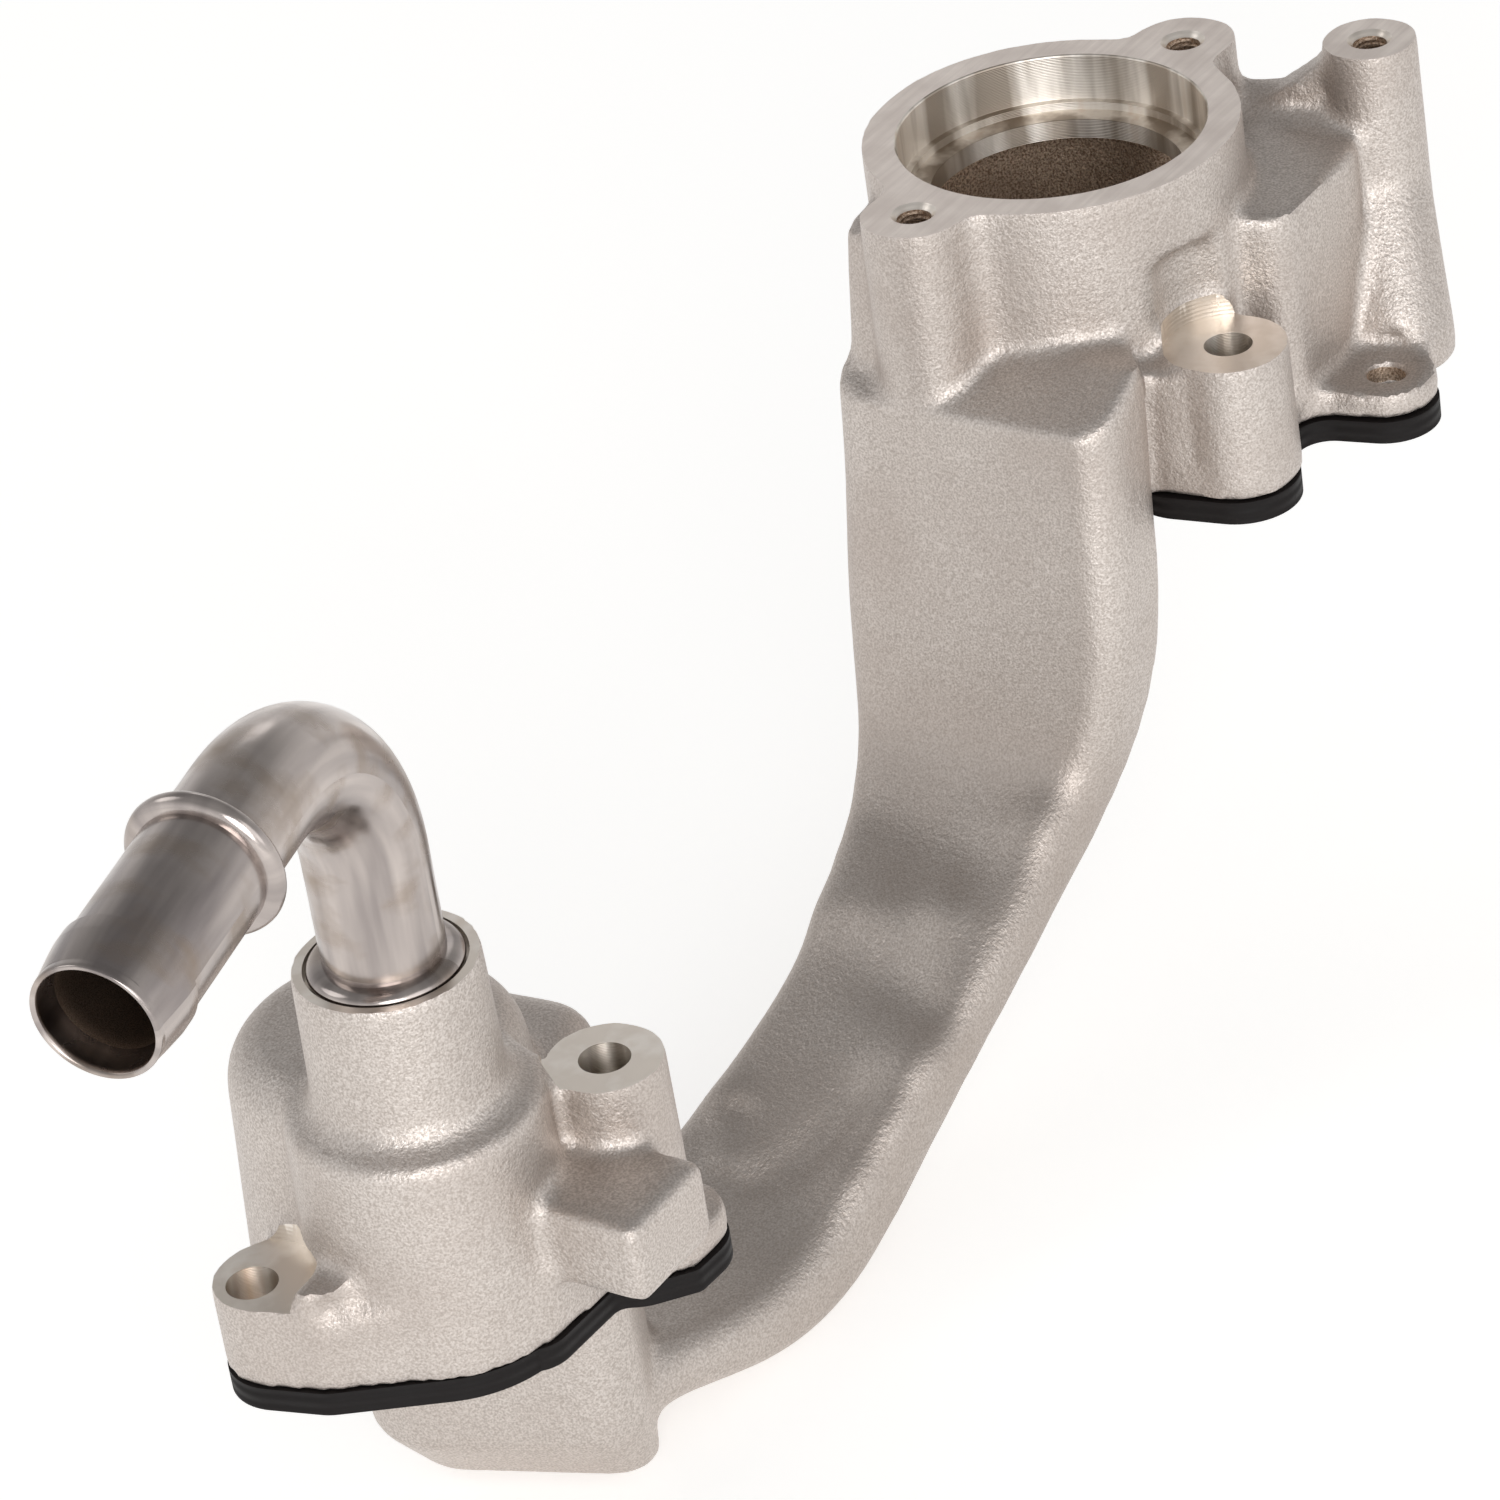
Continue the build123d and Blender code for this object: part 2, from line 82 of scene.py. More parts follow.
def add(owner, kind, settings=None, **inputs):
    """Adds a node. An input is named, or i0, i1... by place, and takes a value or an output socket."""
    node = owner.node_tree.nodes.new(kind)
    for key, value in (settings or {}).items():
        setattr(node, key, value)
    for key, value in inputs.items():
        by_place = key[0] == "i" and key[1:].isdigit()
        socket = node.inputs[int(key[1:])] if by_place else node.inputs[key.replace("_", " ")]
        if isinstance(value, bpy.types.NodeSocket):
            owner.node_tree.links.new(value, socket)
        else:
            socket.default_value = value
    return node


def blend(owner, share, low, high):
    """Colour from low to high by a share of 0 to 1. Each end is a hex value or a colour socket."""
    ends = [end if isinstance(end, bpy.types.NodeSocket) else linear(end) for end in (low, high)]
    return add(owner, "ShaderNodeMix", {"data_type": "RGBA"}, i0=share, i6=ends[0], i7=ends[1]).outputs[2]


def spread(owner, value, low=0.0, high=1.0, to_low=0.0, to_high=1.0):
    """Stretches low to high over to_low to to_high, and clamps what lies past them."""
    return add(owner, "ShaderNodeMapRange", Value=value, From_Min=low, From_Max=high,
               To_Min=to_low, To_Max=to_high).outputs[0]


def calculated(owner, operation, first, second, **third):
    return add(owner, "ShaderNodeMath", {"operation": operation}, i0=first, i1=second, **third).outputs[0]


def scaled(owner, vector, scale):
    return add(owner, "ShaderNodeMapping", Vector=vector, Scale=scale).outputs[0]


def noise(owner, vector, scale, detail, roughness=0.5):
    return add(owner, "ShaderNodeTexNoise", Vector=vector, Scale=scale, Detail=detail,
               Roughness=roughness).outputs["Fac"]


def grains(owner, vector, size_mm, detail, roughness=0.5):
    """Noise whose grains are this many millimetres wide."""
    return noise(owner, vector, 1 / (size_mm * MM), detail, roughness)


def level_bands(owner, vector, spacing_mm, **more):
    """Level lines this many millimetres apart."""
    return add(owner, "ShaderNodeTexWave", {"wave_type": "BANDS", "bands_direction": "Z"}, Vector=vector,
               Scale=2 * pi / 20 / (spacing_mm * MM), **more).outputs["Fac"]


def bumps(owner, height, depth_mm):
    return add(owner, "ShaderNodeBump", Strength=1.0, Distance=depth_mm * MM, Height=height).outputs[0]


def new_material(name):
    material = bpy.data.materials.new(name)
    material.use_nodes = True
    material.node_tree.nodes.clear()
    return material


def finish_material(material, shader):
    add(material, "ShaderNodeOutputMaterial", Surface=shader.outputs[0])
    return material


def metal(material, colour, rough, **bump):
    """Metal with the default IOR, whose reflection is the base colour."""
    shader = add(material, "ShaderNodeBsdfPrincipled", Metallic=1.0, Base_Color=colour, Roughness=rough,
                 **bump)
    return finish_material(material, shader)


print("check: #808080 is", round(linear("#808080")[0], 3), "linear")

# %% [markdown]
# Sand-cast aluminium: molten metal takes the print of the sand, so its skin is matt and pebbled
# with bumps of just under one millimetre. Peaks that were rubbed in handling are a little paler,
# and the hollows keep a warm grey film. The duct hangs under the body, and round its middle a
# darker, browner film lies over everything and fades out towards both ends: that is painted shade,
# for the shadow the duct lies in. The bumps are too small and too many for geometry, so they are a
# bump map, and the eye reads them as the soft light and dark specks of a casting. The inside of the
# tube has the same kind of skin.

# %% Sand-cast aluminium
# Painted shade: round this point every cast skin is blended towards a darker, browner film, which stands in
# for the shadow the duct lies in.
SHADED_SPOT = (-0.095, -0.005, -0.13)  # middle of the duct, in metres
SHADE_FULL, SHADE_GONE = 0.045, 0.085  # distances from there: full film up to the first, none past the second
SHADE_SHARE, SHADE_FILM = 0.28, "#978b81"
CLOUD_MM = 34


def sand_cast(name, peak, hollow, film, grain_mm, depth_mm, rough):
    m = new_material(name)
    place = add(m, "ShaderNodeTexCoord").outputs["Object"]
    grain = grains(m, place, grain_mm, 3.0, 0.6)
    fine = grains(m, place, grain_mm * 0.4, 2.0)
    cloud = grains(m, place, CLOUD_MM, 3.0)
    relief = calculated(m, "MULTIPLY_ADD", fine, 0.4, i2=grain)
    skin = blend(m, spread(m, fine, 0.36, 0.64), hollow, peak)
    coat = blend(m, spread(m, cloud, 0.4, 0.72, 0.0, 0.55), skin, film)
    away = add(m, "ShaderNodeVectorMath", {"operation": "DISTANCE"}, i0=place, i1=SHADED_SPOT)
    # painted shade: the skin turns darker and browner towards the duct's middle
    painted_shade = blend(m, spread(m, away.outputs["Value"], SHADE_FULL, SHADE_GONE, SHADE_SHARE, 0.0), coat, SHADE_FILM)
    gloss = spread(m, fine, 0.3, 0.7, rough + 0.06, rough - 0.08)
    return metal(m, painted_shade, gloss, Normal=bumps(m, relief, depth_mm))


cast = sand_cast("sand_cast_aluminium", "#d9d1cb", "#bab1aa", "#b6aaa2", 1.0, 0.2, 0.5)
core = sand_cast("cored_passage_aluminium", "#f0dbc6", "#a18a76", "#857060", 1.0, 0.3, 0.62)
stained = sand_cast("stained_tube_inside", "#9a8676", "#6e5d50", "#5a4a3e", 0.5, 0.03, 0.5)
print("cast skins:", cast.name, core.name, stained.name)

# %% [markdown]
# Machined aluminium: a cutter leaves fine lines. The deck is milled, so faint lines of uneven
# strength cross it side by side: a noise drawn out along one axis. The bore is turned, so its rings
# run round the bore's axis, 0.3 mm apart, and years of coolant left pale and rusty runs down its
# wall. On the spotfaces the rings are level, so they show only where the cutter met a wall.

# %% Machined aluminium
def milled_metal(name, light, dark):
    m = new_material(name)
    place = add(m, "ShaderNodeTexCoord").outputs["Object"]
    lines = grains(m, scaled(m, place, (0.05, 1.0, 1.0)), 1.5, 3.0)
    dust = grains(m, place, 9, 5.0)
    skin = blend(m, spread(m, calculated(m, "MULTIPLY", lines, dust), 0.1, 0.4), dark, light)
    gloss = spread(m, lines, to_low=0.38, to_high=0.52)
    return metal(m, skin, gloss, Normal=bumps(m, lines, 0.05))


def turned_metal(name, light, dark, rust, ring_mm, depth_mm):
    m = new_material(name)
    place = add(m, "ShaderNodeTexCoord").outputs["Object"]
    rings = level_bands(m, place, ring_mm, Distortion=0.4, Detail=2.0)
    runs = grains(m, scaled(m, place, (1.0, 1.0, 0.1)), 7, 3.0)
    skin = blend(m, spread(m, runs, 0.42, 0.58), dark, light)
    coat = blend(m, spread(m, runs, 0.6, 0.78, 0.0, 0.6), skin, rust)
    gloss = spread(m, runs, to_low=0.26, to_high=0.42)
    return metal(m, coat, gloss, Normal=bumps(m, rings, depth_mm))


milled = milled_metal("milled_aluminium", "#faf0e8", "#ddd1c9")
turned = turned_metal("turned_aluminium", "#f8f1e8", "#b5a99c", "#cc9f72", 0.3, 0.054)
seat = turned_metal("spotfaced_aluminium", "#f3ebe2", "#e4dacf", "#dccdbb", 0.8, 0.02)
print("machined skins:", milled.name, turned.name, seat.name)

# %% [markdown]
# Drawn aluminium tube: smooth, with soft streaks along its length and a brownish bloom where the
# oxide has grown. The pattern reads the tube's own UV map, so that it follows the bend.

# %% Drawn tube
def drawn_tube():
    m = new_material("drawn_aluminium")
    place = add(m, "ShaderNodeTexCoord").outputs["UV"]
    streak = noise(m, scaled(m, place, (7.0, 1.6, 1.0)), 1.7, 3.0, 0.45)
    bloom = noise(m, scaled(m, place, (3.0, 9.0, 1.0)), 1.3, 4.0)
    skin = blend(m, spread(m, streak, 0.32, 0.68), "#928a88", "#cec4be")
    coat = blend(m, spread(m, bloom, 0.5, 0.7, 0.0, 0.7), skin, "#92806e")
    return metal(m, coat, spread(m, bloom, 0.35, 0.7, 0.15, 0.34))


bright = drawn_tube()
print("tube:", bright.name)

# %% [markdown]
# Moulded rubber: a port gasket is pressed in a mould, so it is black and satin, with a trace of grey
# dust in patches of a few millimetres. Its edge has two low sealing lips about 2 mm apart, which
# run all the way round. They are level bands, so a wave along the upright axis draws them as bump.

# %% Moulded rubber
def moulded_rubber():
    m = new_material("moulded_rubber")
    place = add(m, "ShaderNodeTexCoord").outputs["Object"]
    dust = grains(m, place, 5, 5.0)
    lips = level_bands(m, place, 2.1)
    shader = add(m, "ShaderNodeBsdfPrincipled", Base_Color=blend(m, dust, "#0a0706", "#161010"),
                 Roughness=spread(m, dust, to_low=0.55, to_high=0.75), IOR=1.52, Specular_IOR_Level=0.25,
                 Normal=bumps(m, lips, 0.25))
    return finish_material(m, shader)


rubber = moulded_rubber()
print("gaskets:", rubber.name)

# %% [markdown]
# The next helpers make plain meshes: a solid of revolution for everything that a lathe or a drill
# makes, one that turns an object's modifiers into a real mesh, and one that joins meshes.

# %% Mesh helpers
def new_object(name, mesh):
    obj = bpy.data.objects.new(name, mesh)
    bpy.context.scene.collection.objects.link(obj)
    return obj


def revolved(name, place, profile, steps=96):
    """Closed solid of revolution about an upright axis, from (radius, height) points in millimetres."""
    bm = bmesh.new()
    rings = []
    for r, z in profile:
        ring = [bm.verts.new((place[0] + r * MM * cos(a), place[1] + r * MM * sin(a), z * MM))
                for a in (2 * pi * i / steps for i in range(steps))]
        rings.append(ring)
    for low, high in zip(rings, rings[1:]):
        for i in range(steps):
            j = (i + 1) % steps
            bm.faces.new((low[i], low[j], high[j], high[i]))
    bm.faces.new(rings[0][::-1])
    bm.faces.new(rings[-1])
    bmesh.ops.recalc_face_normals(bm, faces=bm.faces)
    mesh = bpy.data.meshes.new(name)
    bm.to_mesh(mesh)
    bm.free()
    return new_object(name, mesh)


def disc(name, place, r, top, low):
    return revolved(name, place, [(r, low), (r, top)])


def plain_mesh(obj):
    """Replaces the object's mesh by the evaluated one and clears the modifiers."""
    bpy.context.view_layer.update()
    done = bpy.data.meshes.new_from_object(obj.evaluated_get(bpy.context.evaluated_depsgraph_get()))
    old = obj.data
    obj.modifiers.clear()
    obj.data = done
    bpy.data.meshes.remove(old)
    return obj


def joined(name, objects):
    """One object of all the meshes, whose loose triangles are merged where their corners meet."""
    bm = bmesh.new()
    for obj in objects:
        bm.from_mesh(obj.data)
    bmesh.ops.remove_doubles(bm, verts=bm.verts, dist=1e-6)
    mesh = bpy.data.meshes.new(name)
    bm.to_mesh(mesh)
    bm.free()
    for obj in objects:
        bpy.data.objects.remove(obj)
    return new_object(name, mesh)


print("helpers ready")

# %% [markdown]
# A foundry leaves extra metal, called stock, wherever a machine will cut. The same is done here:
# low discs are laid over each place that is cut later, so that the cut edges come out crisp. Their
# places come from the record's mounts, and the two ears stand on the cover's bolt circle. A disc is
# its place, its radius, its top and its foot, in millimetres.

# %% Stock for the machined faces
def at(name):
    return Vector(mounts[name]["pos_m"])


LOW_EAR_ROUND = (-237.4, 14.3)  # middle of the low ear's round end, in mm
EAR_REACH, EAR_TURN = 36.4, radians(-10)
ears = [Vector((cos(EAR_TURN), sin(EAR_TURN), 0)) * side * EAR_REACH * MM for side in (-1, 1)]
post, near, low_ear, low_boss = (
    at(n) for n in ("bracket_thread", "high_near_bolt", "low_ear_bolt", "low_boss_bolt"))
dowel, tube_foot = at("dowel_hole"), at("low_port_bore")

raw = nodes["housing"].copy()
raw.data = raw.data.copy()
raw.parent = None
for key in list(raw.keys()):  # the copy is raw material, so it doesn't keep the node's own marks
    del raw[key]
bpy.context.scene.collection.objects.link(raw)
stock = [raw,
         disc("deck_stock", (0, 0), 33.0, 1.5, -14.0),
         disc("post_stock", post, 8.3, 1.5, -3.0),
         disc("near_stock", near, 10.3, -28.0, -34.0),
         disc("boss_stock", low_boss, 9.6, -62.5, -68.0),
         disc("low_ear_stock", Vector(LOW_EAR_ROUND) * MM, 8.9, -83.4, -88.0),
         disc("rim_stock", tube_foot, 14.8, -33.3, -40.0)]
stock += [disc("ear_stock", ear, 9.3, 1.5, -3.0) for ear in ears]
casting = joined("housing_casting", stock)
print("raw casting:", len(casting.data.polygons), "faces")

# %% [markdown]
# Sand can't hold a sharp edge, and the pattern has a radius in every corner, so a casting has no
# sharp edges at all. The solid's corners are sharp. Rounding each by hand would take hundreds of
# edge choices, so its copy is turned into even small faces by a voxel remesh and then relaxed,
# which rounds every corner, inner and outer, by the same small amount.

# %% Remesh and relax
VOXEL_MM = 1.33  # finer ones would take the casting past 200,000 triangles
RELAX_SHARE, RELAX_ROUNDS = 0.5, 6
remesh = casting.modifiers.new("skin", "REMESH")
remesh.mode = "VOXEL"
remesh.voxel_size = VOXEL_MM * MM
relax = casting.modifiers.new("relax", "SMOOTH")
relax.factor = RELAX_SHARE
relax.iterations = RELAX_ROUNDS
plain_mesh(casting)
print("remeshed:", len(casting.data.polygons), "faces")

# %% [markdown]
# The duct isn't flat. Its top has soft swellings and hollows where the pattern was blended by hand,
# and a trough along the low run. They change the outline and the light, so they are geometry: each
# one moves the skin along its normal by a bell-shaped amount around one point of the top face.

# %% Swellings and hollows of the duct
SWELLS = [  # point in mm, reach in mm, height in mm (negative is a hollow)
    # the swellings and the hollows where the duct turns
    ((-79, 4, -115), 6.0, 1.9), ((-77, -9, -114), 6.0, 2.0),
    ((-59, -18, -103.4), 7.0, 1.9), ((-80, 14, -115.5), 6.5, 1.2),
    ((-64, 4, -107), 7.5, -1.3), ((-63, 15, -106.5), 6.5, -0.9), ((-66, -7, -108), 5.5, -0.7),
    ((-89, -4.5, -121), 6.5, -1.6), ((-92, -13, -122.5), 5.5, -1.0),
    # the ridge and the trough of the low run
    ((-100, -15, -128), 6.5, 1.5), ((-110, -14.5, -133.5), 7.0, 1.3), ((-121, -13, -138.5), 6.5, 0.9),
    ((-109, -7, -131.7), 5.0, -1.4), ((-115, -5, -134.8), 5.0, -1.5), ((-121, -2.5, -137.3), 5.0, -1.6),
    ((-127, 1.5, -139.7), 5.0, -1.5), ((-124, 10, -138.5), 4.0, 1.0),
    # the lug beside the tall boss and its dimple, and the dent beside the low ear
    ((-114.5, 15.5, -134.4), 4.5, 1.1), ((-116, 12.5, -134.8), 2.4, -1.0),
    ((-241.8, -0.5, -84.3), 2.4, -1.4),
    # the left wall of the upper body, and the shelf behind the near bolt
    ((-60, 10, -45), 9.0, -0.5), ((10, -37, -45), 6.0, 0.4),
]
mesh = casting.data
points, normals = np.empty((len(mesh.vertices), 3)), np.empty((len(mesh.vertices), 3))
mesh.vertices.foreach_get("co", points.ravel())
mesh.vertex_normals.foreach_get("vector", normals.ravel())
move = np.zeros(len(points))
for spot, reach, height in SWELLS:
    away = ((points - np.array(spot) * MM) ** 2).sum(1) / (reach * MM) ** 2
    move += height * MM * np.exp(-away)
mesh.vertices.foreach_set("co", (points + normals * move[:, None]).ravel())
mesh.update()
print("skin moved by", round(move.min() / MM, 2), "to", round(move.max() / MM, 2), "mm")

# %% [markdown]
# Now the machine work: each cutter is a plain solid of revolution, and a Boolean takes it away.
# A cutter's faces keep their material, so each cut face comes out as turned or milled metal.

# %% Cut the machined faces
SKINS = [cast, milled, turned, core, seat]
MILLED, TURNED, CORED, SEAT = 1, 2, 3, 4
for skin in SKINS:
    casting.data.materials.append(skin)


def cut(tool, skin):
    """Takes the tool away from the casting. The new faces get the skin with this index."""
    for material in SKINS:
        tool.data.materials.append(material)
    for face in tool.data.polygons:
        face.material_index = skin
    knife = casting.modifiers.new(tool.name, "BOOLEAN")
    knife.operation = "DIFFERENCE"
    knife.solver = "MANIFOLD"
    knife.object = tool
    knife.material_mode = "INDEX"
    plain_mesh(casting)
    bpy.data.objects.remove(tool)


BOLT_R, SPOTFACE_R = 4.2, 11.2
VALVE_BORE = [(27.3, 3.0), (27.3, 0.0), (27.0, -0.3), (27.0, -8.6),  # chamfer and wall
              (25.8, -8.75), (25.8, -10.2), (22.3, -10.35), (22.3, -14.2)]  # seat land and shoulder
TUBE_RIM = [(18.0, -28.0), (18.0, -34.8), (12.9, -34.8), (12.9, -36.8), (9.7, -36.8), (9.7, -50.8)]
cut(disc("deck_cut", (0, 0), 60.0, 8.0, 0.0), MILLED)
cut(disc("post_cut", post, 12.0, 8.0, 0.0), MILLED)
cut(revolved("bore_cut", (0, 0), VALVE_BORE, 192), TURNED)
cut(disc("near_seat", near, SPOTFACE_R, -26.0, -30.0), SEAT)
cut(disc("near_hole", near, BOLT_R, -20.0, -60.0), TURNED)
cut(disc("ear_seat", low_ear, SPOTFACE_R, -81.0, -85.0), SEAT)
cut(disc("ear_hole", low_ear, BOLT_R, -80.0, -105.0), TURNED)
cut(disc("boss_seat", low_boss, 10.1, -58.0, -64.0), SEAT)
cut(disc("boss_hole", low_boss, BOLT_R, -58.0, -105.0), TURNED)
cut(disc("dowel_hole", dowel, 3.4, -45.0, -60.0), CORED)
cut(revolved("rim_cut", tube_foot, TUBE_RIM, 128), SEAT)
print("machined:", len(casting.data.polygons), "faces")

# %% [markdown]
# Three holes are tapped for M6 bolts. A thread is one ridge that winds round the hole once per
# millimetre of depth, which is a rule, so Geometry Nodes draw it: a helix, swept with a small
# profile, and set at each hole. Its sizes are named inputs of the tree. The ridge stands on the
# hole's wall at the thread's outer width and reaches in to its core width.

# %% Tap the holes
CORE_R, OUTER_R, PITCH, TURNS = 2.5, 3.0, 1.0, 12.0
TURN_STEPS, PROFILE_STEPS = 28, 6
RIDGE_R = OUTER_R - 0.1  # the ridge's middle, so that the outer part of its round profile is in the wall
COUNTERSINK = [(3.95, 3.0), (3.95, 0.0), (OUTER_R - 0.05, -1.0)]
tapped = ears + [post]
for number, place in enumerate(tapped):
    # The drilled wall takes the core's rough brown skin: dirt in the thread, and painted shade as well,
    # since it keeps the deep hole dark.
    cut(disc(f"drilled_{number}", place, OUTER_R, 3.0, -20.0), CORED)
    cut(revolved(f"countersink_{number}", place, COUNTERSINK, 64), SEAT)


def thread_tree(sizes):
    tree = bpy.data.node_groups.new("thread_turns", "GeometryNodeTree")
    tree.interface.new_socket("Geometry", in_out="INPUT", socket_type="NodeSocketGeometry")
    for label in sizes:
        tree.interface.new_socket(label, in_out="INPUT", socket_type="NodeSocketFloat")
    tree.interface.new_socket("Finish", in_out="INPUT", socket_type="NodeSocketMaterial")
    tree.interface.new_socket("Geometry", in_out="OUTPUT", socket_type="NodeSocketGeometry")
    step = {kind: tree.nodes.new(kind) for kind in (
        "NodeGroupInput", "ShaderNodeMath", "GeometryNodeCurveSpiral", "GeometryNodeCurvePrimitiveCircle",
        "GeometryNodeCurveToMesh", "GeometryNodeInstanceOnPoints", "GeometryNodeRealizeInstances",
        "GeometryNodeSetMaterial", "NodeGroupOutput")}
    start, depth, helix, profile, sweep, set_out, real, paint, end = step.values()
    depth.operation = "MULTIPLY"
    helix.inputs["Resolution"].default_value = TURN_STEPS
    profile.inputs["Resolution"].default_value = PROFILE_STEPS
    for source, sink in (
            (start.outputs["Pitch"], depth.inputs[0]),
            (start.outputs["Turns"], depth.inputs[1]),
            (start.outputs["Turns"], helix.inputs["Rotations"]),
            (depth.outputs[0], helix.inputs["Height"]),
            (start.outputs["Radius"], helix.inputs["Start Radius"]),
            (start.outputs["Radius"], helix.inputs["End Radius"]),
            (start.outputs["Ridge"], profile.inputs["Radius"]),
            (helix.outputs[0], sweep.inputs["Curve"]),
            (profile.outputs[0], sweep.inputs["Profile Curve"]),
            (start.outputs["Geometry"], set_out.inputs["Points"]),
            (sweep.outputs[0], set_out.inputs["Instance"]),
            (set_out.outputs[0], real.inputs[0]),
            (real.outputs[0], paint.inputs["Geometry"]),
            (start.outputs["Finish"], paint.inputs["Material"]),
            (paint.outputs[0], end.inputs[0])):
        tree.links.new(source, sink)
    sweep.inputs["Fill Caps"].default_value = True
    return tree


THREAD = {"Pitch": PITCH * MM, "Turns": TURNS, "Radius": RIDGE_R * MM, "Ridge": (RIDGE_R - CORE_R) * MM}
feet = bpy.data.meshes.new("thread_feet")
LOWEST_TURN = -(TURNS * PITCH + 1.4) * MM
feet.from_pydata([(p.x, p.y, LOWEST_TURN) for p in tapped], [], [])
threads = new_object("thread_turns", feet)
wind = threads.modifiers.new("wind", "NODES")
wind.node_group = thread_tree(THREAD)
for item in wind.node_group.interface.items_tree:
    if item.in_out == "INPUT" and item.name in THREAD:
        wind[item.identifier] = THREAD[item.name]
    elif item.name == "Finish":
        wind[item.identifier] = core
plain_mesh(threads)
print("threads:", len(threads.data.polygons), "faces in", len(tapped), "holes")

# %% [markdown]
# The threads are part of the one casting, so their mesh is joined to it. The faces of the cored
# passage, which the machine never touches, get the dark skin of the core's sand. Faces that meet at
# a sharp angle keep a sharp edge, and all the others are shaded smooth.

# %% Finish the casting
# The threads take the core's rough brown skin: a dirty thread, and painted shade as well, since it keeps
# the deep holes dark.
for face in threads.data.polygons:
    face.material_index = CORED
bm = bmesh.new()
bm.from_mesh(casting.data)
bm.from_mesh(threads.data)
bm.to_mesh(casting.data)
bm.free()
bpy.data.objects.remove(threads)

mesh = casting.data
count = len(mesh.polygons)
centre, facing, skin = np.empty((count, 3)), np.empty((count, 3)), np.empty(count, np.int32)
mesh.polygons.foreach_get("center", centre.ravel())
mesh.polygons.foreach_get("normal", facing.ravel())
mesh.polygons.foreach_get("material_index", skin)
inward = (facing[:, :2] * centre[:, :2]).sum(1) < 0
CHAMBER_R, WALL_R, CHAMBER_TOP, CHAMBER_LOW = 28.5, 33.0, -13.9, -56.0
away = np.hypot(centre[:, 0], centre[:, 1]) / MM
depth = centre[:, 2] / MM
at_depth = (depth < CHAMBER_TOP) & (depth > CHAMBER_LOW)
in_chamber = (away < CHAMBER_R) | (inward & (away < WALL_R))
skin[at_depth & in_chamber & (skin == 0)] = CORED
mesh.polygons.foreach_set("material_index", skin)
mesh.polygons.foreach_set("use_smooth", np.ones(count, bool))
CAST_EDGE = radians(38)  # the casting's rounded corners bend less than this from face to face
mesh.set_sharp_from_angle(angle=CAST_EDGE)
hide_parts("housing")
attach(casting, "root")
triangles = sum(len(p.vertices) - 2 for p in mesh.polygons)
print("casting:", triangles, "triangles, faces by skin", np.bincount(skin))

# %% [markdown]
# The tube is drawn, bent once and rolled at both ends: a bead that seats it in the casting, and a
# hose end with a stop bead, a barb and a lip. It is built as rings along its centre line, outside
# first and then back along the inside, so the wall is real. Its UV map runs round and along it.

# %% Heater tube: centre line
HEAD, BEND, BEND_R = radians(190.5), radians(94.0), 28.0
CORNER = np.array([tube_foot.x / MM, tube_foot.y / MM, 14.6])
FOOT_Z, RUN = -50.8, 80.5
flat = np.array([cos(HEAD), sin(HEAD), 0.0])
up = np.array(UP, float)
out = up * cos(BEND) + flat * sin(BEND)
tangent = BEND_R * tan(BEND / 2)
straight = CORNER[2] - tangent - FOOT_Z
arc = BEND_R * BEND
full = straight + arc + RUN - tangent


def centre_line(s):
    """Point and direction at a distance s along the tube, in millimetres."""
    if s <= straight:
        return np.array([CORNER[0], CORNER[1], FOOT_Z + s]), up
    if s <= straight + arc:
        a = (s - straight) / BEND_R
        pivot = np.array([CORNER[0], CORNER[1], FOOT_Z + straight]) + flat * BEND_R
        return pivot - flat * BEND_R * cos(a) + up * BEND_R * sin(a), up * cos(a) + flat * sin(a)
    return CORNER + out * (tangent + s - straight - arc), out


print("tube:", round(full, 1), "mm along its centre line")

# %% [markdown]
# The tube's outer radius changes along its length. A bead is half an ellipse on top of the plain
# tube, the hose land is a little wider, and the barb falls away to a thin lip at the open end.

# %% Heater tube: profile
TUBE_R, INNER_R, LAND_R, BARB_R = 9.7, 8.5, 10.35, 10.9
LAND_FROM, BARB_FROM, BARB_FALL = 36.5, 11.0, 8.0  # distances from the open end
SEAT_BEAD, STOP_BEAD, LIP = (15.7, 1.7, 12.4), (full - LAND_FROM, 1.9, 12.6), (full - 0.8, 0.8, 10.1)
BEADS = (SEAT_BEAD, STOP_BEAD, LIP)  # each is its place, half its width and its radius


def outer_r(s):
    left = full - s
    r = TUBE_R if left > LAND_FROM else LAND_R
    if left < BARB_FROM:
        r = BARB_R if left > BARB_FALL else TUBE_R + (BARB_R - TUBE_R) * (left / BARB_FALL) ** 0.7
    for place, half, top in BEADS:
        d = (s - place) / half
        r = r if abs(d) >= 1 else r + (top - r) * (1 - d * d) ** 0.5
    return r


END_STEPS = (34.5, BARB_FROM, 10.6, BARB_FALL, 7, 6, 5, 4, 3, 2, 1.6, 0)
stations = set(np.arange(0, full, 2.0)) | {full - d for d in END_STEPS}
for place, half, top in BEADS:
    stations |= {place + half * sin(t) for t in np.linspace(-pi / 2, pi / 2, 15)}
rows = [(s, outer_r(s)) for s in sorted(stations)]
mouth, MOUTH_ROWS = len(rows), 4  # the first row on the inside, and the clean ones after it
FLARE = ((0.05, 9.35), (0.4, 9.1), (1.2, 9.0), (4.2, 8.95), (5.0, INNER_R))  # (from the end, radius)
rows += [(full - d, r) for d, r in FLARE]
rows += [(s, INNER_R) for s in np.arange(full - 8, 0, -4.0)] + [(0.0, INNER_R)]
print("tube rings:", len(rows))

# %% [markdown]
# The rings are joined into faces, and each face gets its place round and along the tube as UV.
# Coolant has stained the inside, so it has a dull brown skin from a few millimetres in.

